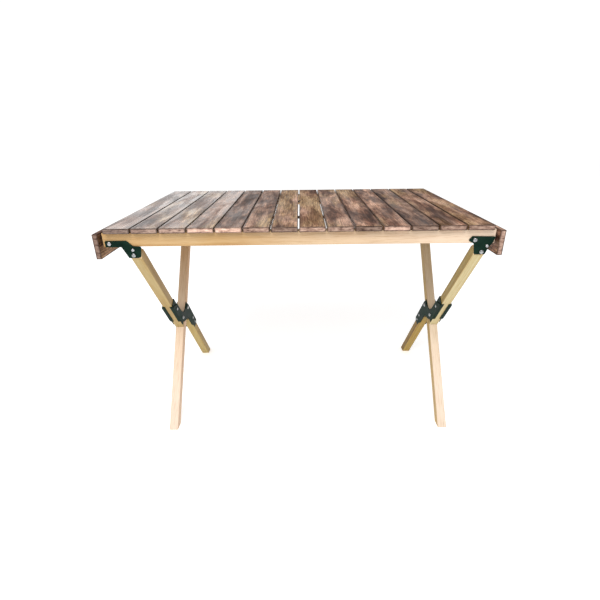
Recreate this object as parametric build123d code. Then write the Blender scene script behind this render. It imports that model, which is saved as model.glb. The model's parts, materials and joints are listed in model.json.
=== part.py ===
from build123d import *
import math
import os

# A folding camp kitchen table: a roll-up slatted top on a wooden frame with crossed legs.
# Millimetres, +Z up. The origin is on the floor under the middle of the top.
# +X runs along the table, and the front rail is on the -Y side.

# Driving dimensions of the top
TABLE_HEIGHT = 630.0
TOP_LENGTH = 900.0
TOP_DEPTH = 577.0
SLAT_COUNT = 14
SLAT_GAP = 3.2
SLAT_THICKNESS = 12.5
SLAT_EDGE_RADIUS = 1.4
END_SLAT_DROP = 60.0
END_SLAT_REACH = 14.0
STRAP_Y = 120.0
STRAP_WIDTH = 30.0
STRAP_THICKNESS = 1.5
STAPLE_LENGTH = 9.0
STAPLE_WIRE = 1.0
STAPLE_HEIGHT = 0.5
TAB_LENGTH = 40.0

# Driving dimensions of the frame
FRAME_SHIFT_X = 20.0
RAIL_HALF_LENGTH = 460.0
RAIL_THICKNESS = 26.0
RAIL_HEIGHT = 33.5
RAIL_FRONT_Y = 276.0
POST = 26.0
POST_EDGE_RADIUS = 2.0
CROSS_HEIGHT = 299.0
FOOT_Y = 223.0
LEG_X = 407.0
UPPER_POST_OFFSET = -55.0
LOWER_POST_START = 62.0
STOP_GAP = 1.0
LEG_TOP_Z = 577.0
LEG_TOP_ROUND = 10.0
FRONT_LEG_FACE_Y = 275.7
REAR_LEG_FACE_Y = 206.0

# Driving dimensions of the steel fittings
SHEET = 1.8
PLATE = 2.5
GAP = 0.3
PIVOT_Z = 564.0
PIVOT_OFFSET = 4.0
PIVOT_DEPTH = 18.0
CATCH_RADIUS = 4.2
FRONT_CATCH = {"left": (0.0, 577.0), "right": (11.0, 578.0)}
REAR_CATCH = (0.0, 575.0)
BOLT_RADIUS = 3.0
BOLT_CLEARANCE = 0.08
HEAD_RADIUS = 5.2
HEAD_HEIGHT = 3.6
DOME_ROUNDING = 0.8
NUT_RADIUS = 5.8
NUT_HEIGHT = 4.6
SCREW_RADIUS = 1.8
RIVET_HEIGHT = 1.6
FLANGE_HEIGHT = 16.0
FLANGE_ROUND = 6.0
DROP_PLATE_BOTTOM = 552.0
DROP_PLATE_HALF_WIDTH = 16.0
DROP_PLATE_ROUND = 8.0
RAIL_BOLT_RISE = 8.5
RAIL_BOLT_X = {"left": -444.0, "right": 412.0}
REAR_FLANGE = {"left": (-455.0, -403.0), "right": (403.0, 459.0)}
UPPER_CHANNEL = (-128.0, -12.0)
CHANNEL_LIP = 8.0
LIP_SPAN = (-128.0, -36.0)
LOWER_CHANNEL = (-14.0, 118.0)
LOWER_CHANNEL_WEB_START = 30.0
CLAMP_BOLT = (-30.0, -52.0)
LAP_RIVETS = ((-92.0, -55.0), (72.0, 0.0), (102.0, 0.0))
WEAR_PLATE = (14.0, 54.0)

# The front brackets are flat plates. These are their outlines, as x and z.
FRONT_PLATES = {
    "left": [
        (-454, 584), (-454, 599), (-404, 599), (-390, 586), (-371, 584),
        (-375, 560), (-380, 557), (-403, 557), (-417, 584),
    ],
    "right": [
        (397, 591), (405, 601), (459, 600), (456, 588), (446, 573),
        (440, 557), (415, 557), (411, 583),
    ],
}
FRONT_PLATE_ROUND = 2.5

# A knee plate joins the two halves of an outer leg past the crossing. Its outline is
# given along the leg from the crossing, and off the leg's middle line.
KNEE_PLATE = [
    (-128, -69.8), (-98, -41), (-54, -41), (-30, -33), (-14, -8), (-12, 6), (-2, 14),
    (114, 14), (120, 4), (112, -12), (78, -25), (22, -25), (-8, -56), (-38, -69.8),
]
KNEE_PLATE_ROUND = 2.0

# Values that follow from them
SLAT_WIDTH = (TOP_LENGTH - (SLAT_COUNT - 1) * SLAT_GAP) / SLAT_COUNT
SLAT_PITCH = SLAT_WIDTH + SLAT_GAP
TOP_UNDERSIDE = TABLE_HEIGHT - SLAT_THICKNESS
END_SLAT_X = TOP_LENGTH / 2 + END_SLAT_REACH
RAIL_BOTTOM = TOP_UNDERSIDE - RAIL_HEIGHT
LEG_SLOPE = math.atan2(CROSS_HEIGHT, FOOT_Y)
HALF = POST / 2
# Both legs of a side share one plane. The outer leg is made of two posts that stop at
# the inner leg, so its sheet metal spans the inner leg with a small gap on each side.
OUTER_POST_HALF = HALF + GAP
KNEE_INSIDE = OUTER_POST_HALF + SHEET
KNEE_OUTSIDE = KNEE_INSIDE + PLATE
SIDES = {"left": -1, "right": 1}

os.makedirs("parts", exist_ok=True)


def save(node, *solids):
    """Write one sub-part, which may be a group of separate solids."""
    shape = solids[0] if len(solids) == 1 else Compound(children=list(solids))
    export_step(shape, f"parts/{node}.step")


def block(x_range, y_range, z_range):
    """A box from its lowest to its highest corner."""
    spans = [sorted(r) for r in (x_range, y_range, z_range)]
    size = [high - low for low, high in spans]
    middle = [(high + low) / 2 for low, high in spans]
    return Pos(*middle) * Box(*size)


def rod(start, end, radius):
    """A cylinder between two points."""
    line = Vector(*end) - Vector(*start)
    plane = Plane(origin=start, z_dir=line)
    return extrude(plane * Circle(radius), line.length)


def dome(base, direction, radius, height):
    """A rounded screw or bolt head standing on its base point."""
    plane = Plane(origin=base, z_dir=direction)
    head = extrude(plane * Circle(radius), height)
    rim = head.edges().sort_by(Axis(base, direction))[-1]
    return fillet(rim, height * DOME_ROUNDING)


def hex_nut(base, direction):
    """A hexagon nut with its bolt hole."""
    plane = Plane(origin=base, z_dir=direction)
    outline = plane * (RegularPolygon(NUT_RADIUS, 6) - Circle(BOLT_RADIUS))
    return extrude(outline, NUT_HEIGHT)


def side_x(side, distance):
    """The x of a place on the frame, from its distance outward from the frame's middle."""
    return FRAME_SHIFT_X + side * distance


def leg_point(along, normal, mirror):
    """The (y, z) of a place on a leg, from the crossing down the leg and off its upper face.

    The outer leg runs from the top front to the rear foot. The inner leg is its mirror image.
    """
    y = along * math.cos(LEG_SLOPE) + normal * math.sin(LEG_SLOPE)
    z = CROSS_HEIGHT - along * math.sin(LEG_SLOPE) + normal * math.cos(LEG_SLOPE)
    return mirror * y, z


def along_at_z(z, normal):
    """How far down the leg a line at this normal reaches a height."""
    return (CROSS_HEIGHT - z + normal * math.cos(LEG_SLOPE)) / math.sin(LEG_SLOPE)


def along_at_face(normal, face_y):
    """How far down the leg a line at this normal meets the upright face at the leg's top."""
    return (-face_y - normal * math.sin(LEG_SLOPE)) / math.cos(LEG_SLOPE)


def along_at_inner_leg(normal):
    """Where a line along the outer leg comes up to the upper face of the inner leg."""
    reach = HALF + STOP_GAP
    return (normal * math.cos(2 * LEG_SLOPE) - reach) / math.sin(2 * LEG_SLOPE)


def leg_prism(corners, middle_x, half_width):
    """Extrude an outline in the plane of the crossed legs along X."""
    plane = Plane(origin=(middle_x - half_width, 0, 0), x_dir=(0, 1, 0), z_dir=(1, 0, 0))
    outline = plane * make_face(Polyline(*corners, close=True))
    return extrude(outline, 2 * half_width)


def leg_strip(span, normals, middle_x, half_width, mirror=1):
    """A straight bar of sheet or wood that lies along a leg."""
    corners = [
        leg_point(span[0], normals[0], mirror),
        leg_point(span[1], normals[0], mirror),
        leg_point(span[1], normals[1], mirror),
        leg_point(span[0], normals[1], mirror),
    ]
    return leg_prism(corners, middle_x, half_width)


def soften(post):
    """Round the four long edges of a wooden post."""
    slanted = post.edges().filter_by(lambda edge: edge.length > 4 * POST)
    return fillet(slanted, POST_EDGE_RADIUS)


def post_top(mirror, offset, face_y):
    """The corners of a leg's top end: cut level on top, with an upright face for its bracket."""
    high = offset + HALF
    low = offset - HALF
    level_rear = leg_point(along_at_z(LEG_TOP_Z, high), high, mirror)
    level_front = (-mirror * face_y, LEG_TOP_Z)
    face_bottom = leg_point(along_at_face(low, face_y), low, mirror)
    return level_rear, level_front, face_bottom


def crown(middle_x, half_width):
    """The space of a leg whose top is rounded, so that it can turn under the rail."""
    reach = 2 * FRONT_LEG_FACE_Y
    space = block((middle_x - half_width, middle_x + half_width), (-reach, reach), (0, LEG_TOP_Z))
    return fillet(space.edges().filter_by(Axis.Y).group_by(Axis.Z)[-1], LEG_TOP_ROUND)


def foot(mirror):
    """The two corners of a leg's foot, cut level with the floor."""
    front = leg_point(along_at_z(0, -HALF), -HALF, mirror)
    rear = leg_point(along_at_z(0, HALF), HALF, mirror)
    return front, rear


def slat(x_low, x_high, z_low, z_high):
    """A slat of the top, with its corners eased."""
    board = block((x_low, x_high), (-TOP_DEPTH / 2, TOP_DEPTH / 2), (z_low, z_high))
    return fillet(board.edges(), SLAT_EDGE_RADIUS)


def make_top():
    """The flat slats, on two webbing straps that are stapled to their undersides."""
    staples = []
    for index in range(SLAT_COUNT):
        x_low = -TOP_LENGTH / 2 + index * SLAT_PITCH
        x_high = x_low + SLAT_WIDTH
        save(f"slat_{index + 1:02d}", slat(x_low, x_high, TOP_UNDERSIDE, TABLE_HEIGHT))
        x_mid = (x_low + x_high) / 2
        staple_z = TOP_UNDERSIDE - STRAP_THICKNESS
        for y in (-STRAP_Y, STRAP_Y):
            staples.append(
                block(
                    (x_mid - STAPLE_WIRE / 2, x_mid + STAPLE_WIRE / 2),
                    (y - STAPLE_LENGTH / 2, y + STAPLE_LENGTH / 2),
                    (staple_z - STAPLE_HEIGHT, staple_z),
                )
            )
    save("strap_staples", *staples)
    strap_end = END_SLAT_X - STRAP_THICKNESS - GAP
    for name, y in (("front", -STRAP_Y), ("rear", STRAP_Y)):
        strap = block(
            (-strap_end, strap_end),
            (y - STRAP_WIDTH / 2, y + STRAP_WIDTH / 2),
            (TOP_UNDERSIDE - STRAP_THICKNESS, TOP_UNDERSIDE),
        )
        save(f"{name}_webbing_strap", strap)


def make_end_slat(name, side):
    """The last slat hangs over the rails' ends, on the turned-down ends of the straps."""
    inner = side * END_SLAT_X
    outer = side * (END_SLAT_X + SLAT_THICKNESS)
    low, high = sorted((inner, outer))
    save(f"{name}_end_slat", slat(low, high, TOP_UNDERSIDE - END_SLAT_DROP, TOP_UNDERSIDE))
    tab_top = TOP_UNDERSIDE - STRAP_THICKNESS - GAP
    tabs = [
        block(
            (inner - side * STRAP_THICKNESS, inner),
            (y - STRAP_WIDTH / 2, y + STRAP_WIDTH / 2),
            (tab_top - TAB_LENGTH, tab_top),
        )
        for y in (-STRAP_Y, STRAP_Y)
    ]
    save(f"{name}_strap_tabs", *tabs)


def make_rail(name, face):
    """A rail under the ends of the slats, with holes for its two brackets' bolts."""
    inner_y = RAIL_FRONT_Y - RAIL_THICKNESS
    rail = block(
        (-RAIL_HALF_LENGTH, RAIL_HALF_LENGTH),
        (face * inner_y, face * RAIL_FRONT_Y),
        (RAIL_BOTTOM, TOP_UNDERSIDE),
    )
    rail = fillet(rail.edges(), POST_EDGE_RADIUS)
    for x in RAIL_BOLT_X.values():
        z = RAIL_BOTTOM + RAIL_BOLT_RISE
        rail -= rod((x, face * RAIL_FRONT_Y, z), (x, face * inner_y, z), BOLT_RADIUS)
    save(f"{name}_rail", rail)


def front_bracket(name):
    """A flat plate on the rail's face that reaches down over the top of the leg."""
    plane = Plane(origin=(0, -RAIL_FRONT_Y, 0), x_dir=(1, 0, 0), z_dir=(0, -1, 0))
    outline = make_face(Polyline(*FRONT_PLATES[name], close=True))
    outline = fillet(outline.vertices(), FRONT_PLATE_ROUND)
    return extrude(plane * outline, PLATE)


def rear_bracket(name, pivot_x):
    """A flange on the rail's face, a shelf under the rail and a drop plate for the leg.

    The inner leg stands further in than the rail, which is why the shelf is deep.
    """
    plate_near = REAR_LEG_FACE_Y + GAP
    flange_range = REAR_FLANGE[name]
    plate_range = (pivot_x - DROP_PLATE_HALF_WIDTH, pivot_x + DROP_PLATE_HALF_WIDTH)
    shelf_range = (min(flange_range[0], plate_range[0]), max(flange_range[1], plate_range[1]))
    shelf_low = RAIL_BOTTOM - PLATE
    flange_far = RAIL_FRONT_Y + PLATE
    flange = block(flange_range, (RAIL_FRONT_Y, flange_far), (shelf_low, RAIL_BOTTOM + FLANGE_HEIGHT))
    flange = fillet(flange.edges().filter_by(Axis.Y).group_by(Axis.Z)[-1], FLANGE_ROUND)
    shelf = block(shelf_range, (plate_near, flange_far), (shelf_low, RAIL_BOTTOM))
    drop_plate = block(plate_range, (plate_near, plate_near + PLATE), (DROP_PLATE_BOTTOM, RAIL_BOTTOM))
    drop_plate = fillet(drop_plate.edges().filter_by(Axis.Y).group_by(Axis.Z)[0], DROP_PLATE_ROUND)
    return flange + shelf + drop_plate


def make_bracket(name, side, end, face):
    """A corner bracket with the bolt through its rail and its catch button."""
    pivot_x = side_x(side, LEG_X + PIVOT_OFFSET)
    bolt_x = RAIL_BOLT_X[name]
    bolt_z = RAIL_BOTTOM + RAIL_BOLT_RISE
    inner_y = RAIL_FRONT_Y - RAIL_THICKNESS
    flange_far = RAIL_FRONT_Y + PLATE
    if face < 0:
        bracket = front_bracket(name)
        plate_far = flange_far
        catch_offset, catch_z = FRONT_CATCH[name]
    else:
        bracket = rear_bracket(name, pivot_x)
        plate_far = REAR_LEG_FACE_Y + GAP + PLATE
        catch_offset, catch_z = REAR_CATCH
    bolt_base = (bolt_x, face * flange_far, bolt_z)
    bracket -= rod((bolt_x, face * RAIL_FRONT_Y, bolt_z), bolt_base, BOLT_RADIUS)
    pivot_end = (pivot_x, face * plate_far, PIVOT_Z)
    pivot_start = (pivot_x, face * (plate_far - PLATE), PIVOT_Z)
    bracket -= rod(pivot_start, pivot_end, BOLT_RADIUS + BOLT_CLEARANCE)
    save(f"{end}_{name}_bracket", bracket)

    outward = (0, face, 0)
    shank = rod((bolt_x, face * (inner_y - NUT_HEIGHT), bolt_z), bolt_base, BOLT_RADIUS)
    head = dome(bolt_base, outward, HEAD_RADIUS, HEAD_HEIGHT)
    nut = hex_nut((bolt_x, face * inner_y, bolt_z), (0, -face, 0))
    catch_base = (pivot_x + catch_offset, face * plate_far, catch_z)
    catch = dome(catch_base, outward, CATCH_RADIUS, HEAD_HEIGHT)
    save(f"{end}_{name}_bracket_bolts", shank + head, nut, catch)


def channel_cheeks(middle_x, span, normals):
    """The two side walls of a folded channel."""
    cheeks = []
    for direction in (-1, 1):
        cheek_x = middle_x + direction * (OUTER_POST_HALF + SHEET / 2)
        cheeks.append(leg_strip(span, normals, cheek_x, SHEET / 2))
    return cheeks[0] + cheeks[1]


def make_upper_channel(middle_x):
    """A channel round the lower end of the upper post, with lips on the post's lower face."""
    low = UPPER_POST_OFFSET - HALF
    high = UPPER_POST_OFFSET + HALF
    channel = channel_cheeks(middle_x, UPPER_CHANNEL, (low, high))
    channel += leg_strip(UPPER_CHANNEL, (high, high + SHEET), middle_x, KNEE_INSIDE)
    for direction in (-1, 1):
        lip_x = middle_x + direction * (KNEE_INSIDE - CHANNEL_LIP / 2)
        channel += leg_strip(LIP_SPAN, (low - SHEET, low), lip_x, CHANNEL_LIP / 2)
    return channel


def make_lower_channel(middle_x):
    """A channel round the upper end of the lower post, whose cheeks reach past the crossing."""
    web_span = (LOWER_CHANNEL_WEB_START, LOWER_CHANNEL[1])
    channel = channel_cheeks(middle_x, LOWER_CHANNEL, (-HALF, HALF))
    return channel + leg_strip(web_span, (HALF, HALF + SHEET), middle_x, KNEE_INSIDE)


def make_knee_plates(middle_x):
    """The two flat plates that carry the outer leg past the inner leg."""
    corners = [leg_point(along, normal, 1) for along, normal in KNEE_PLATE]
    plates = []
    for direction in (-1, 1):
        plate = leg_prism(corners, middle_x + direction * (KNEE_INSIDE + PLATE / 2), PLATE / 2)
        plates.append(fillet(plate.edges().filter_by(Axis.X), KNEE_PLATE_ROUND))
    return plates


def rivet(start, end, side):
    """A rivet with a low head at each end."""
    pin = rod(start, end, BOLT_RADIUS)
    pin += dome(start, (-side, 0, 0), CATCH_RADIUS, RIVET_HEIGHT)
    return pin + dome(end, (side, 0, 0), CATCH_RADIUS, RIVET_HEIGHT)


def make_outer_leg(name, side):
    """The outer leg, from the front bracket to the rear foot, in two posts past the inner leg."""
    x = side_x(side, LEG_X)
    pivot_x = side_x(side, LEG_X + PIVOT_OFFSET)
    upper_low = UPPER_POST_OFFSET - HALF
    upper_high = UPPER_POST_OFFSET + HALF
    upper_corners = [
        *post_top(1, UPPER_POST_OFFSET, FRONT_LEG_FACE_Y),
        leg_point(along_at_inner_leg(upper_low), upper_low, 1),
        leg_point(along_at_inner_leg(upper_high), upper_high, 1),
    ]
    upper = soften(leg_prism(upper_corners, x, OUTER_POST_HALF)) & crown(x, OUTER_POST_HALF)
    front_foot, rear_foot = foot(1)
    lower_corners = [
        leg_point(LOWER_POST_START, HALF, 1),
        leg_point(LOWER_POST_START, -HALF, 1),
        front_foot,
        rear_foot,
    ]
    lower = soften(leg_prism(lower_corners, x, OUTER_POST_HALF))
    upper_channel = make_upper_channel(x)
    lower_channel = make_lower_channel(x)
    knee_plates = make_knee_plates(x)

    pivot_start = (pivot_x, -FRONT_LEG_FACE_Y + PIVOT_DEPTH, PIVOT_Z)
    pivot_seat = (pivot_x, -(FRONT_LEG_FACE_Y + 2 * GAP + PLATE), PIVOT_Z)
    pivot = rod(pivot_start, pivot_seat, BOLT_RADIUS)
    upper -= rod(pivot_start, (pivot_x, -FRONT_LEG_FACE_Y, PIVOT_Z), BOLT_RADIUS)
    save(f"front_{name}_leg_pivot_bolt", pivot + dome(pivot_seat, (0, -1, 0), HEAD_RADIUS, HEAD_HEIGHT))

    inner_face = side_x(side, LEG_X - KNEE_OUTSIDE)
    outer_face = side_x(side, LEG_X + KNEE_OUTSIDE)
    holes = []
    for place in ((0.0, 0.0), CLAMP_BOLT) + LAP_RIVETS:
        y, z = leg_point(*place, 1)
        holes.append(((inner_face, y, z), (outer_face, y, z)))
    for start, end in holes:
        hole = rod(start, end, BOLT_RADIUS)
        upper -= hole
        lower -= hole
        upper_channel -= hole
        lower_channel -= hole
        knee_plates = [plate - hole for plate in knee_plates]
    for node, (start, end) in zip(("cross_bolt", "clamp_bolt"), holes):
        shank_end = (end[0] + side * NUT_HEIGHT, end[1], end[2])
        bolt = rod(start, shank_end, BOLT_RADIUS) + dome(start, (-side, 0, 0), HEAD_RADIUS, HEAD_HEIGHT)
        save(f"{name}_{node}", bolt, hex_nut(end, (side, 0, 0)))
    save(f"{name}_lap_rivets", *[rivet(start, end, side) for start, end in holes[2:]])
    save(f"{name}_outer_leg_upper", upper)
    save(f"{name}_outer_leg_lower", lower)
    save(f"{name}_upper_channel", upper_channel)
    save(f"{name}_lower_channel", lower_channel)
    save(f"{name}_knee_plates", *knee_plates)


def make_inner_leg(name, side):
    """The inner leg, from the rear bracket to the front foot, in one post."""
    x = side_x(side, LEG_X)
    pivot_x = side_x(side, LEG_X + PIVOT_OFFSET)
    corners = [*post_top(-1, 0, REAR_LEG_FACE_Y), *foot(-1)]
    post = soften(leg_prism(corners, x, HALF)) & crown(x, HALF)
    post -= rod((x - HALF, 0, CROSS_HEIGHT), (x + HALF, 0, CROSS_HEIGHT), BOLT_RADIUS + BOLT_CLEARANCE)

    pivot_start = (pivot_x, REAR_LEG_FACE_Y - PIVOT_DEPTH, PIVOT_Z)
    pivot_seat = (pivot_x, REAR_LEG_FACE_Y + 2 * GAP + PLATE, PIVOT_Z)
    pivot = rod(pivot_start, pivot_seat, BOLT_RADIUS)
    post -= rod(pivot_start, (pivot_x, REAR_LEG_FACE_Y, PIVOT_Z), BOLT_RADIUS)
    save(f"rear_{name}_leg_pivot_bolt", pivot + dome(pivot_seat, (0, 1, 0), HEAD_RADIUS, HEAD_HEIGHT))

    wear_plate = leg_strip(WEAR_PLATE, (-HALF - SHEET, -HALF), x, HALF - POST_EDGE_RADIUS, -1)
    screw_start = (x, *leg_point(sum(WEAR_PLATE) / 2, 0, -1))
    screw_seat = (x, *leg_point(sum(WEAR_PLATE) / 2, -HALF - SHEET, -1))
    outward = (Vector(*screw_seat) - Vector(*screw_start)).normalized()
    screw = rod(screw_start, screw_seat, SCREW_RADIUS)
    screw += dome(screw_seat, tuple(outward), HEAD_RADIUS, HEAD_HEIGHT)
    screw_hole = rod(screw_start, screw_seat, SCREW_RADIUS)
    save(f"{name}_wear_plate", wear_plate - screw_hole)
    save(f"{name}_wear_plate_screw", screw)
    save(f"{name}_inner_leg", post - screw_hole)


make_top()
for side_name, side_sign in SIDES.items():
    make_end_slat(side_name, side_sign)
    make_outer_leg(side_name, side_sign)
    make_inner_leg(side_name, side_sign)
for end_name, face_sign in (("front", -1), ("rear", 1)):
    make_rail(end_name, face_sign)
    for side_name, side_sign in SIDES.items():
        make_bracket(side_name, side_sign, end_name, face_sign)
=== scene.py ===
import json
import math
import random

import bmesh
import bpy
from mathutils import Matrix, Vector, noise


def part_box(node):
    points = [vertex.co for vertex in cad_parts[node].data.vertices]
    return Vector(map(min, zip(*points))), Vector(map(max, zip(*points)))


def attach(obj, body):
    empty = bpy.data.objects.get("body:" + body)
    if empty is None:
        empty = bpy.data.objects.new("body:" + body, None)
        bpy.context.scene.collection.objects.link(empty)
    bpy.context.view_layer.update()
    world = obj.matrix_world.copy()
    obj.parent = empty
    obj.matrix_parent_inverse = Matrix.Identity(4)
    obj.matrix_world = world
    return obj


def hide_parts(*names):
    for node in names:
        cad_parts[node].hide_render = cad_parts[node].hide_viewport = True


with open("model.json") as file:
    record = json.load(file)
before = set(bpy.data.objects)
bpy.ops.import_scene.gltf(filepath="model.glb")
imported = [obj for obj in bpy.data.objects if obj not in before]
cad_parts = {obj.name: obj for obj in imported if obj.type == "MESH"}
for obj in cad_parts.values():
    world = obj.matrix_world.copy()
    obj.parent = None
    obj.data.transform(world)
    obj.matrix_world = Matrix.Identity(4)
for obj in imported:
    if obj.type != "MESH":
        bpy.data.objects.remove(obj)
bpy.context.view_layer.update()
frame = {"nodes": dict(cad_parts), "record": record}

NODES = frame["nodes"]
MM = 0.001

# How far the slats' edges are rounded, and how wide the rim along them is that gets painted shade
SLAT_EASE = 1.3 * MM
SLAT_RIM = 2.6 * MM

# The wood is cut every so far along its length, and slats also across their narrow sides
STATION = 22 * MM
CROSS_STATION = 12 * MM
NARROW_SIDE = 100 * MM

# How deep the wood is worn, and how many bumps there are to a metre
WEAR_DEPTH = 0.3 * MM
SLAT_WEAR_SCALE = 14.0
BAR_WEAR_SCALE = 16.0

# An edge sharper than this, in degrees, keeps its hard shading
SHARP_ANGLE = 35

# How squarely a face looks along a direction, as a cosine, to count as an end, a flank or a side
END_FACING = 0.5
FLANK_FACING = 0.9
SIDE_FACING = 0.985

# How strongly a slat's rim is darkened with painted shade, where 1 is as much as its rounded edges
RIM_SHADE = 0.8

# The distance under which points are one point, and the angle under which faces are one face
SAME_POINT = 1e-6
SAME_FACE_ANGLE = math.radians(0.5)

# The legs' slope follows from where they cross and where they stand, in metres
CROSS_HEIGHT = 0.299
FOOT_Y = 0.223
LEG_SLOPE = math.atan2(CROSS_HEIGHT, FOOT_Y)

SIDES = ("left", "right")
ENDS = ("front", "rear")
ALONG_X = Vector((1, 0, 0))
ALONG_Y = Vector((0, 1, 0))
ALONG_Z = Vector((0, 0, 1))

# The lens in millimetres, the eye's place in metres and its turns in radians
LENS = 23.7
SENSOR_WIDTH = 36.0
EYE = (0.005, -1.179, 0.8395)
PITCH = 0.4140
YAW = 0.004
ROLL = 0.012

# The stage: the floor's half width and its drop below the feet in metres, and strengths of light
FLOOR_HALF_SIZE = 12
FLOOR_DROP = 0.0005
FLOOR_GLOW = 0.42
SURROUND_SEEN = 1.05
SURROUND_LIGHT = 0.6
WHITE = (1, 1, 1, 1)


# ---------------------------------------------------------------- mesh helpers

def finish_mesh(name, bm):
    """Turn a bmesh into an object, with smooth shading that keeps its hard edges."""
    bmesh.ops.recalc_face_normals(bm, faces=bm.faces)
    mesh = bpy.data.meshes.new(name)
    bm.to_mesh(mesh)
    bm.free()
    mesh.polygons.foreach_set("use_smooth", [True] * len(mesh.polygons))
    mesh.set_sharp_from_angle(angle=math.radians(SHARP_ANGLE))
    piece = bpy.data.objects.new(name, mesh)
    bpy.context.scene.collection.objects.link(piece)
    return piece


def box_mesh(bm, low, high):
    """A closed box between two corners."""
    outline = [(low.y, low.z), (high.y, low.z), (high.y, high.z), (low.y, high.z)]
    left = [bm.verts.new((low.x, y, z)) for y, z in outline]
    right = [bm.verts.new((high.x, y, z)) for y, z in outline]
    bm.faces.new(left)
    bm.faces.new(reversed(right))
    for i in range(len(outline)):
        j = (i + 1) % len(outline)
        bm.faces.new((left[i], right[i], right[j], left[j]))
    bmesh.ops.recalc_face_normals(bm, faces=bm.faces)


def ease_edges(bm, width):
    """Round every edge."""
    bmesh.ops.bevel(
        bm, geom=list(bm.edges), offset=width, offset_type="OFFSET",
        segments=3, profile=0.5, affect="EDGES", clamp_overlap=True,
    )


def cut_at(bm, direction, distance):
    """Cut every face of the mesh by a plane at a distance along a direction."""
    bmesh.ops.bisect_plane(
        bm, geom=bm.verts[:] + bm.edges[:] + bm.faces[:],
        plane_co=direction * distance, plane_no=direction, dist=SAME_POINT,
    )


def cut_stations(bm, direction, start, stop, step):
    """Cut the mesh across its length, so that it can be worn uneven."""
    count = int((stop - start) / step)
    for i in range(1, count):
        cut_at(bm, direction, start + (stop - start) * i / count)


def wear(bm, seed, scale):
    """Sink the surface a little here and there, as planed and sanded wood is never quite true."""
    shift = Vector((seed * 7.3, seed * 3.1, seed * 5.7))
    bm.normal_update()
    sunk = []
    for vert in bm.verts:
        depth = 0.5 + 0.5 * noise.noise(vert.co * scale + shift)
        sunk.append(vert.co - vert.normal * WEAR_DEPTH * depth)
    for vert, place in zip(bm.verts, sunk):
        vert.co = place


def mark(piece, along, sides, rim=0.0):
    """Store on each face whether it is end grain, a flank (across the first side) or an edge, which the
    shaders darken; on slats the edges and rims get painted shade.
    """
    mesh = piece.data
    flank = mesh.attributes.new("flank", "FLOAT", "FACE")
    end = mesh.attributes.new("end_grain", "FLOAT", "FACE")
    edge = mesh.attributes.new("edge", "FLOAT", "FACE")
    low = [min(vert.co[axis] for vert in mesh.vertices) for axis in range(3)]
    high = [max(vert.co[axis] for vert in mesh.vertices) for axis in range(3)]
    for index, poly in enumerate(mesh.polygons):
        is_end = abs(poly.normal.dot(along)) > END_FACING
        is_flank = abs(poly.normal.dot(sides[0])) > FLANK_FACING
        is_side = max(abs(poly.normal.dot(side)) for side in sides) > SIDE_FACING
        spare = [min(poly.center[axis] - low[axis], high[axis] - poly.center[axis]) for axis in range(3)]
        flank.data[index].value = 1.0 if is_flank else 0.0
        end.data[index].value = 1.0 if is_end else 0.0
        edge.data[index].value = 0.0 if is_end or is_side else 1.0
        # A slat's rim is marked for painted shade as well
        if sorted(spare)[1] < rim:
            edge.data[index].value = RIM_SHADE


# ------------------------------------------------------------ material helpers

# Linear red, green and blue
STAIN_DARK = (0.088, 0.038, 0.022)
STAIN_MIDDLE = (0.300, 0.155, 0.095)
STAIN_LIGHT = (0.780, 0.470, 0.320)
# Near-black painted shade along the slats' eased edges and rims
EDGE_SHADE_STAIN = (0.020, 0.011, 0.008)
PALE_LIGHT = (0.76, 0.54, 0.30)
PALE_HONEY = (0.64, 0.40, 0.17)
PALE_DEEP = (0.46, 0.25, 0.09)
PALE_CREAM = (0.86, 0.68, 0.48)
# The pale colour laid on as painted light
PAINTED_LIGHT_PALE = (0.84, 0.69, 0.56)
# Darker colour along the posts' and rails' rounded edges
PALE_EDGE_DARKENING = (0.45, 0.27, 0.12)
CHIPPED_ENAMEL = (0.10, 0.12, 0.115)


def scaled(colour, factor):
    """A colour made lighter or darker."""
    return tuple(c * factor for c in colour)


def tinted(colour, tint_and_shade):
    """A colour multiplied by another."""
    return tuple(c * t for c, t in zip(colour, tint_and_shade))


def grain_shift(rng):
    """Which stretch of the endless grain a piece of wood is cut from."""
    return tuple(rng.uniform(-20, 20) for _ in range(3))


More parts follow.
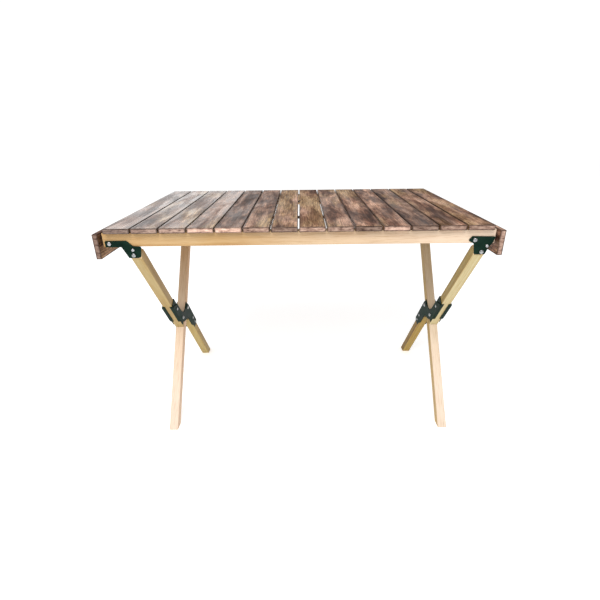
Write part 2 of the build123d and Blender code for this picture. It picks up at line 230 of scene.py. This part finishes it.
class Shader:
    """A node material, with short calls for the nodes that repeat."""

    def __init__(self, name):
        self.material = bpy.data.materials.new(name)
        self.material.use_nodes = True
        self.nodes = self.material.node_tree.nodes
        self.links = self.material.node_tree.links
        self.surface = self.nodes["Principled BSDF"]

    def add(self, kind, **values):
        node = self.nodes.new(kind)
        for key, value in values.items():
            setattr(node, key, value)
        return node

    def join(self, source, target):
        self.links.new(source, target)

    def set(self, **values):
        for key, value in values.items():
            self.surface.inputs[key.replace("_", " ")].default_value = value

    def place(self, scale, shift, turn=(0, 0, 0)):
        """Object coordinates, turned so that the grain lies along X and then stretched."""
        source = self.add("ShaderNodeTexCoord")
        rotate = self.add("ShaderNodeMapping")
        rotate.inputs["Rotation"].default_value = turn
        stretch = self.add("ShaderNodeMapping")
        stretch.inputs["Scale"].default_value = scale
        stretch.inputs["Location"].default_value = shift
        self.join(source.outputs["Object"], rotate.inputs["Vector"])
        self.join(rotate.outputs["Vector"], stretch.inputs["Vector"])
        return stretch.outputs["Vector"]

    def noise(self, vector, scale, detail=4.0, rough=0.55, bend=0.0):
        node = self.add("ShaderNodeTexNoise")
        node.inputs["Scale"].default_value = scale
        node.inputs["Detail"].default_value = detail
        node.inputs["Roughness"].default_value = rough
        node.inputs["Distortion"].default_value = bend
        self.join(vector, node.inputs["Vector"])
        return node.outputs["Fac"]

    def ramp(self, value, *stops):
        node = self.add("ShaderNodeValToRGB")
        elements = node.color_ramp.elements
        while len(elements) < len(stops):
            elements.new(0.5)
        for element, (place, colour) in zip(elements, stops):
            element.position = place
            element.color = (*colour, 1)
        self.join(value, node.inputs["Fac"])
        return node.outputs["Color"]

    def remap(self, value, low, high, to_low, to_high):
        node = self.add("ShaderNodeMapRange")
        for name, number in (
            ("From Min", low), ("From Max", high), ("To Min", to_low), ("To Max", to_high)
        ):
            node.inputs[name].default_value = number
        self.join(value, node.inputs["Value"])
        return node.outputs["Result"]

    def mix(self, factor, first, second, blend="MIX"):
        node = self.add("ShaderNodeMix", data_type="RGBA", blend_type=blend)
        sockets = (node.inputs["Factor"], node.inputs[6], node.inputs[7])
        for socket, value in zip(sockets, (factor, first, second)):
            if isinstance(value, bpy.types.NodeSocket):
                self.join(value, socket)
            else:
                socket.default_value = (*value, 1) if isinstance(value, tuple) else value
        return node.outputs[2]

    def math(self, operation, first, second):
        node = self.add("ShaderNodeMath", operation=operation)
        for socket, value in zip(node.inputs, (first, second)):
            if isinstance(value, bpy.types.NodeSocket):
                self.join(value, socket)
            else:
                socket.default_value = value
        return node.outputs[0]

    def attribute(self, name):
        return self.add("ShaderNodeAttribute", attribute_name=name).outputs["Fac"]

    def bump(self, height, distance, strength, below=None):
        node = self.add("ShaderNodeBump")
        node.inputs["Strength"].default_value = strength
        node.inputs["Distance"].default_value = distance
        self.join(height, node.inputs["Height"])
        if below is not None:
            self.join(below, node.inputs["Normal"])
        return node.outputs["Normal"]


def stained_wood(name, rng, tone, gold, sheen, end_light):
    """Dark stained slat wood, mottled and worn through to gold in patches, with painted shade darkening
    its edges almost to black.
    """
    s = Shader(name)
    shift = grain_shift(rng)
    turn = (0, 0, math.radians(-90))
    long_grain = s.place((1.0, 9.0, 9.0), shift, turn)
    fine_grain = s.place((4.0, 60.0, 60.0), shift, turn)
    patches = s.place((1.0, 2.4, 2.4), shift, turn)
    stain_at = s.place((0.7, 4.0, 4.0), shift, turn)

    bands = s.noise(long_grain, 3.2, detail=5, rough=0.6, bend=0.6)
    mottle = s.noise(patches, 11.0, detail=6, rough=0.65)
    fibre = s.noise(fine_grain, 5.0, detail=5, rough=0.7)
    worn = s.noise(patches, 4.6, detail=4, rough=0.5, bend=0.4)
    pores = s.noise(fine_grain, 22.0, detail=2, rough=0.5)
    stains = s.noise(stain_at, 7.0, detail=6, rough=0.62, bend=0.5)

    dark = scaled(STAIN_DARK, tone)
    middle = scaled(STAIN_MIDDLE, tone)
    light = scaled(STAIN_LIGHT, tone)
    base = s.ramp(bands, (0.40, dark), (0.50, middle), (0.60, light))
    mottled = s.ramp(mottle, (0.42, dark), (0.50, middle), (0.59, light))
    colour = s.mix(0.55, base, mottled)
    golden = s.ramp(fibre, (0.3, (0.34, 0.200, 0.080)), (0.7, (0.72, 0.480, 0.235)))
    worn_amount = s.remap(worn, 0.58 - gold * 0.14, 0.70 - gold * 0.1, 0.0, 0.8)
    colour = s.mix(worn_amount, colour, golden)
    streaks = s.ramp(fibre, (0.34, (0.26, 0.20, 0.17)), (0.58, (1, 1, 1)))
    colour = s.mix(0.9, colour, streaks, "MULTIPLY")
    shade = s.ramp(stains, (0.38, (0.30, 0.21, 0.18)), (0.53, (1, 1, 1)))
    colour = s.mix(0.8, colour, shade, "MULTIPLY")
    pore_dark = s.remap(pores, 0.36, 0.44, 0.7, 0.0)
    colour = s.mix(pore_dark, colour, scaled(dark, 0.3))

    ends = s.ramp(
        s.noise(s.place((9, 2, 26), shift), 9.0, detail=5, rough=0.6),
        (0.30, scaled((0.08, 0.040, 0.028), end_light)),
        (0.48, scaled((0.34, 0.215, 0.165), end_light)),
        (0.70, scaled((0.56, 0.395, 0.310), end_light)),
    )
    colour = s.mix(s.attribute("end_grain"), colour, ends)
    # Painted shade: the slat's eased edges and rims darkened almost to black
    edge_darkening = s.math("MULTIPLY", s.attribute("edge"), s.remap(mottle, 0.4, 0.6, 0.55, 0.95))
    colour = s.mix(edge_darkening, colour, EDGE_SHADE_STAIN)
    s.join(colour, s.surface.inputs["Base Color"])

    rough = s.remap(stains, 0.38, 0.60, 0.60 - sheen * 0.2, 0.36 - sheen * 0.2)
    s.join(rough, s.surface.inputs["Roughness"])
    s.set(Specular_IOR_Level=0.02 + 0.38 * sheen, Coat_Weight=0.15 * sheen, Coat_Roughness=0.15)
    relief = s.bump(fibre, 0.25 * MM, 0.5)
    relief = s.bump(mottle, 0.5 * MM, 0.35, relief)
    s.join(relief, s.surface.inputs["Normal"])
    return s.material


def pale_wood(name, rng, turn, warm, tint_and_shade, painted_light, flank):
    """Pale wood with straight honey-coloured grain, made paler towards one end along an axis with
    painted light, and darker on its flanks with painted shade.
    """
    s = Shader(name)
    shift = grain_shift(rng)
    bands_at = s.place((0.7, 14.0, 14.0), shift, turn)
    fibre_at = s.place((5.0, 120.0, 120.0), shift, turn)
    cloud_at = s.place((1.0, 3.0, 3.0), shift, turn)

    bands = s.noise(bands_at, 4.5, detail=4, rough=0.55, bend=0.5)
    fibre = s.noise(fibre_at, 5.0, detail=4, rough=0.6)
    cloud = s.noise(cloud_at, 7.0, detail=4, rough=0.55)

    # The tint carries painted shade on some posts as well as the wood's tone
    light = tinted(PALE_LIGHT, tint_and_shade)
    honey = tinted(PALE_HONEY, tint_and_shade)
    deep = tinted(PALE_DEEP, tint_and_shade)
    cream = tinted(PALE_CREAM, tint_and_shade)
    base = s.ramp(bands, (0.34, light), (0.55, honey), (0.74, deep))
    colour = s.mix(s.remap(cloud, 0.35, 0.7, 0.1, 0.9 - warm * 0.7), base, cream)
    # Painted light: the wood made paler towards one end along an axis
    axis, full_at, none_at, amount = painted_light
    split = s.add("ShaderNodeSeparateXYZ")
    s.join(s.place((1, 1, 1), (0, 0, 0)), split.inputs[0])
    painted_light_amount = s.remap(split.outputs[axis], full_at, none_at, amount, 0.0)
    colour = s.mix(painted_light_amount, colour, PAINTED_LIGHT_PALE)
    lines = s.remap(fibre, 0.36, 0.5, 0.35, 0.0)
    colour = s.mix(lines, colour, deep)
    # Painted shade: the faces marked as flanks are darkened
    flanks = s.math("MULTIPLY", s.attribute("flank"), s.remap(cloud, 0.3, 0.7, 0.75, 1.0))
    darker = s.mix(1.0, colour, flank, "MULTIPLY")
    colour = s.mix(flanks, colour, darker)
    ends = s.ramp(bands, (0.35, (0.55, 0.37, 0.19)), (0.65, (0.76, 0.56, 0.34)))
    colour = s.mix(s.attribute("end_grain"), colour, ends)
    # Darker along the rounded edges
    edge_darkening = s.math("MULTIPLY", s.attribute("edge"), s.remap(cloud, 0.4, 0.6, 0.0, 0.35))
    colour = s.mix(edge_darkening, colour, PALE_EDGE_DARKENING)
    s.join(colour, s.surface.inputs["Base Color"])
    s.join(s.remap(cloud, 0.3, 0.7, 0.38, 0.52), s.surface.inputs["Roughness"])
    s.set(Specular_IOR_Level=0.12)
    relief = s.bump(fibre, 0.15 * MM, 0.5)
    relief = s.bump(bands, 0.3 * MM, 0.3, relief)
    s.join(relief, s.surface.inputs["Normal"])
    return s.material


def coated_steel():
    """Dark green baked enamel on pressed steel, slightly orange-peeled and chipped."""
    s = Shader("dark_green_enamel")
    at = s.place((1, 1, 1), (3, 5, 7))
    cloud = s.noise(at, 45.0, detail=4)
    peel = s.noise(at, 900.0, detail=2)
    chips = s.noise(at, 260.0, detail=5, rough=0.7)
    colour = s.ramp(cloud, (0.3, (0.003, 0.012, 0.008)), (0.7, (0.009, 0.027, 0.018)))
    chipped = s.remap(chips, 0.70, 0.74, 0.0, 0.7)
    colour = s.mix(chipped, colour, CHIPPED_ENAMEL)
    s.join(colour, s.surface.inputs["Base Color"])
    s.join(s.remap(cloud, 0.3, 0.7, 0.34, 0.48), s.surface.inputs["Roughness"])
    s.set(Specular_IOR_Level=0.03)
    s.join(s.bump(peel, 0.05 * MM, 0.5), s.surface.inputs["Normal"])
    return s.material


def bright_steel():
    """Zinc-plated bolts with fine turning marks and dulled spots."""
    s = Shader("zinc_plated_steel")
    at = s.place((1, 1, 1), (1, 2, 3))
    cloud = s.noise(at, 160.0, detail=4)
    marks = s.noise(s.place((60, 600, 600), (1, 2, 3)), 3.0, detail=3)
    colour = s.ramp(cloud, (0.3, (0.22, 0.23, 0.23)), (0.7, (0.52, 0.53, 0.54)))
    s.join(colour, s.surface.inputs["Base Color"])
    s.join(s.remap(cloud, 0.3, 0.7, 0.22, 0.42), s.surface.inputs["Roughness"])
    s.set(Metallic=1.0)
    s.join(s.bump(marks, 0.05 * MM, 0.4), s.surface.inputs["Normal"])
    return s.material


def black_webbing():
    """Woven black polyester strap with a twill rib."""
    s = Shader("black_webbing")
    source = s.add("ShaderNodeTexCoord")
    weave = s.add("ShaderNodeTexWave", wave_type="BANDS", bands_direction="DIAGONAL")
    weave.inputs["Scale"].default_value = 260.0
    weave.inputs["Distortion"].default_value = 1.2
    weave.inputs["Detail"].default_value = 2.0
    s.join(source.outputs["Object"], weave.inputs["Vector"])
    fuzz = s.noise(source.outputs["Object"], 900.0, detail=3)
    colour = s.ramp(weave.outputs["Fac"], (0.2, (0.010, 0.010, 0.011)), (0.8, (0.050, 0.048, 0.050)))
    colour = s.mix(s.remap(fuzz, 0.55, 0.75, 0.0, 0.4), colour, (0.09, 0.085, 0.085))
    s.join(colour, s.surface.inputs["Base Color"])
    s.set(Roughness=0.85, Specular_IOR_Level=0.2, Sheen_Weight=0.08, Sheen_Roughness=0.5)
    s.join(s.bump(weave.outputs["Fac"], 0.35 * MM, 0.7), s.surface.inputs["Normal"])
    return s.material


def dress(piece, material, body, node):
    """Give a piece its material and its body, and hide the CAD node it stands for."""
    piece.data.materials.clear()
    piece.data.materials.append(material)
    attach(piece, body)
    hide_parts(node)


# ------------------------------------------------------------------ the pieces

def make_slat(name, node, seed, material, body):
    """A slat with eased edges, worn a little uneven."""
    low, high = (Vector(corner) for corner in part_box(node))
    rng = random.Random(seed)
    bm = bmesh.new()
    box_mesh(bm, low, high)
    ease_edges(bm, SLAT_EASE * rng.uniform(0.85, 1.25))
    cut_stations(bm, ALONG_Y, low.y, high.y, STATION)
    for axis, direction in enumerate((ALONG_X, ALONG_Y, ALONG_Z)):
        if high[axis] - low[axis] < NARROW_SIDE:
            cut_stations(bm, direction, low[axis], high[axis], CROSS_STATION)
        cut_at(bm, direction, low[axis] + SLAT_RIM)
        cut_at(bm, direction, high[axis] - SLAT_RIM)
    wear(bm, seed, SLAT_WEAR_SCALE)
    piece = finish_mesh(name, bm)
    mark(piece, ALONG_Y, (ALONG_X, ALONG_Z), SLAT_RIM)
    dress(piece, material, body, node)


def make_bar(name, node, seed, material, body, along, side):
    """A post or a rail: the CAD shape cut into short lengths and worn a little uneven."""
    bm = bmesh.new()
    bm.from_mesh(NODES[node].data)
    bmesh.ops.remove_doubles(bm, verts=bm.verts, dist=SAME_POINT)
    bmesh.ops.dissolve_limit(bm, angle_limit=SAME_FACE_ANGLE, verts=bm.verts, edges=bm.edges)
    reach = [vert.co.dot(along) for vert in bm.verts]
    cut_stations(bm, along, min(reach), max(reach), STATION)
    wear(bm, seed, BAR_WEAR_SCALE)
    piece = finish_mesh(name, bm)
    mark(piece, along, (side, along.cross(side)))
    dress(piece, material, body, node)


# --------------------------------------------------------- the camera and stage

def make_camera():
    """A camera at the eye's place: in front of the table, a little above it."""
    data = bpy.data.cameras.new("camera")
    data.sensor_width = SENSOR_WIDTH
    data.lens = LENS
    camera = bpy.data.objects.new("camera", data)
    forward = Vector(
        (-math.sin(YAW) * math.cos(PITCH), math.cos(YAW) * math.cos(PITCH), -math.sin(PITCH))
    )
    right = Vector((math.cos(YAW), math.sin(YAW), 0))
    up = right.cross(forward)
    across = right * math.cos(ROLL) - up * math.sin(ROLL)
    upward = right * math.sin(ROLL) + up * math.cos(ROLL)
    turn = Matrix((across, upward, -forward)).transposed().to_4x4()
    camera.matrix_world = Matrix.Translation(EYE) @ turn
    bpy.context.scene.collection.objects.link(camera)
    bpy.context.scene.camera = camera


def make_light(name, place, target, width, height, power):
    """A soft rectangular lamp at one place, aimed at another, with its power in watts."""
    data = bpy.data.lights.new(name, "AREA")
    data.shape = "RECTANGLE"
    data.size = width
    data.size_y = height
    data.energy = power
    light = bpy.data.objects.new(name, data)
    aim = Vector(target) - Vector(place)
    light.matrix_world = Matrix.Translation(place) @ aim.to_track_quat("-Z", "Y").to_matrix().to_4x4()
    light.visible_camera = False
    bpy.context.scene.collection.objects.link(light)


def make_floor():
    """A pale floor that glows a little, so that it stays pale and softly lights the undersides."""
    bm = bmesh.new()
    bmesh.ops.create_grid(bm, x_segments=1, y_segments=1, size=FLOOR_HALF_SIZE)
    floor = finish_mesh("floor", bm)
    floor.location.z = -FLOOR_DROP
    s = Shader("pale_floor")
    s.set(Base_Color=(0.99, 0.99, 0.99, 1), Roughness=0.95, Specular_IOR_Level=0.0)
    s.set(Emission_Color=WHITE, Emission_Strength=FLOOR_GLOW)
    floor.data.materials.append(s.material)


def make_surround():
    """A white surround, brighter where the camera sees it than as a light on the table."""
    world = bpy.data.worlds.new("surround")
    world.use_nodes = True
    nodes = world.node_tree.nodes
    links = world.node_tree.links
    seen = nodes["Background"]
    lighting = nodes.new("ShaderNodeBackground")
    for background, strength in ((seen, SURROUND_SEEN), (lighting, SURROUND_LIGHT)):
        background.inputs["Color"].default_value = WHITE
        background.inputs["Strength"].default_value = strength
    path = nodes.new("ShaderNodeLightPath")
    blend = nodes.new("ShaderNodeMixShader")
    links.new(path.outputs["Is Camera Ray"], blend.inputs["Fac"])
    links.new(lighting.outputs["Background"], blend.inputs[1])
    links.new(seen.outputs["Background"], blend.inputs[2])
    links.new(blend.outputs["Shader"], nodes["World Output"].inputs["Surface"])
    bpy.context.scene.world = world


def make_studio():
    """The floor, the surround and two soft lights."""
    make_floor()
    make_surround()
    make_light("key", (-0.5, -2.2, 2.9), (0, 0, 0.4), 1.6, 1.6, 80)
    make_light("window", (-1.5, 3.6, 1.35), (-0.2, 0, 0.62), 2.2, 1.2, 8)
    bpy.context.scene.view_settings.view_transform = "Standard"


# ------------------------------------------------------------- the woods' looks

# For each slat: how light its stain is (0.7 dark, 1.3 light), how much gold shows through,
# how glossy it is, and how light its ends are
SLAT_LOOKS = (
    (0.7, 0.1, 1.0, 0.5), (0.7, 0.5, 0.9, 0.8), (0.7, 1.0, 0.7, 1.0), (0.7, 0.5, 0.5, 1.5),
    (0.7, 0.1, 0.2, 1.7), (0.9, 0.5, 0.2, 1.0), (1.1, 1.0, 0.2, 0.6), (1.1, 1.0, 0.1, 1.1),
    (1.2, 0.5, 0.3, 0.9), (1.3, 1.0, 0.2, 0.5), (1.3, 0.5, 0.2, 1.3), (0.8, 0.1, 0.2, 0.6),
    (1.1, 1.0, 0.1, 0.8), (1.1, 1.0, 0.1, 0.8),
)
END_SLAT_LOOKS = {"left": (1.0, 0.2, 0.15, 0.55), "right": (1.0, 0.2, 0.15, 0.98)}

# How each post's wood is tinted: red, green and blue; partly the wood's own tone and partly painted
# shade, with the lower outer posts, darkest on the right, darkened as if in shade
LEG_TINTS_AND_SHADE = {
    ("left", "outer_leg_upper"): (0.60, 0.65, 0.55),
    ("left", "outer_leg_lower"): (0.60, 0.65, 0.45),
    ("left", "inner_leg"): (0.90, 0.85, 0.80),
    ("right", "outer_leg_upper"): (0.75, 0.90, 0.90),
    ("right", "outer_leg_lower"): (0.55, 0.55, 0.25),
    ("right", "inner_leg"): (0.85, 0.95, 1.00),
}
# Painted shade: the posts' sides that face along X are darker than the rest, most of all on the right
FLANK_SHADE = {"left": (0.80, 0.70, 0.60), "right": (0.50, 0.40, 0.15)}
RAIL_TINT = (0.70, 0.65, 0.55)
# The rails' sides get no painted shade
NO_FLANK_SHADE = (1, 1, 1)

# Each post: its part and body, which way it leans, how warm its wood is, how much painted light pales
# its foot
POSTS = (
    ("outer_leg_upper", "outer_leg", 1, 0.9, 0.0),
    ("outer_leg_lower", "outer_leg", 1, 1.0, 0.0),
    ("inner_leg", "inner_leg", -1, 0.5, 0.9),
)
# How painted light pales the posts and rails: along which axis, where it is full, and where it ends
POST_PAINTED_LIGHT = ("Z", 0.1, 0.5)
RAIL_PAINTED_LIGHT = ("X", 0.45, -0.2)
RAIL_PAINTED_LIGHT_AMOUNT = 0.75
RAIL_WARMTH = 0.6

# The first random seed of each kind of wood, and of each kind of wear
SLAT_SEED = 100
SIDE_SEED = 200
RAIL_SEED = 300
END_SLAT_WEAR = 30
POST_WEAR = 40
RAIL_WEAR = 50


# ---------------------------------------------------------------- the assembly

def make_slats():
    """The fourteen slats of the top."""
    for number, look in enumerate(SLAT_LOOKS, start=1):
        rng = random.Random(SLAT_SEED + number)
        wood = stained_wood(f"stained_slat_{number:02d}", rng, *look)
        make_slat(f"slat_{number:02d}_board", f"slat_{number:02d}", number, wood, "top")


def make_side(seed, side):
    """The end slat and the three posts of one end of the table."""
    rng = random.Random(SIDE_SEED + seed)
    wood = stained_wood(f"stained_{side}_end_slat", rng, *END_SLAT_LOOKS[side])
    make_slat(f"{side}_end_board", f"{side}_end_slat", END_SLAT_WEAR + seed, wood, f"{side}_end")
    for part, body, lean, warm, painted_light_amount in POSTS:
        # The post's tint, with painted shade on the lower outer posts
        tint_and_shade = LEG_TINTS_AND_SHADE[side, part]
        turn = (lean * LEG_SLOPE, 0, math.radians(-90))
        # Painted light pales the inner legs' feet
        painted_light = (*POST_PAINTED_LIGHT, painted_light_amount)
        wood = pale_wood(f"pale_{side}_{part}", rng, turn, warm, tint_and_shade, painted_light, FLANK_SHADE[side])
        along = Vector((0, lean * math.cos(LEG_SLOPE), -math.sin(LEG_SLOPE)))
        name = f"{side}_{part}"
        make_bar(f"{name}_post", name, POST_WEAR + seed, wood, f"{side}_{body}", along, ALONG_X)


def make_rail(seed, end):
    """One of the two rails."""
    rng = random.Random(RAIL_SEED + seed)
    name = f"{end}_rail"
    # Painted light pales the rail towards its right end
    painted_light = (*RAIL_PAINTED_LIGHT, RAIL_PAINTED_LIGHT_AMOUNT)
    wood = pale_wood(f"pale_{name}", rng, (0, 0, 0), RAIL_WARMTH, RAIL_TINT, painted_light, NO_FLANK_SHADE)
    make_bar(f"{name}_bar", name, RAIL_WEAR + seed, wood, f"{end}_frame", ALONG_X, ALONG_Y)


def dress_fittings():
    """Give the steel and webbing parts, which keep their shape, their materials."""
    finishes = {
        "coated_steel": coated_steel(),
        "bright_steel": bright_steel(),
        "webbing": black_webbing(),
    }
    for entry in frame["record"]["subparts"]:
        if entry["material_slot"] in finishes:
            mesh = NODES[entry["node"]].data
            mesh.materials.clear()
            mesh.materials.append(finishes[entry["material_slot"]])


make_camera()
make_studio()
make_slats()
for seed, side in enumerate(SIDES):
    make_side(seed, side)
for seed, end in enumerate(ENDS):
    make_rail(seed, end)
dress_fittings()
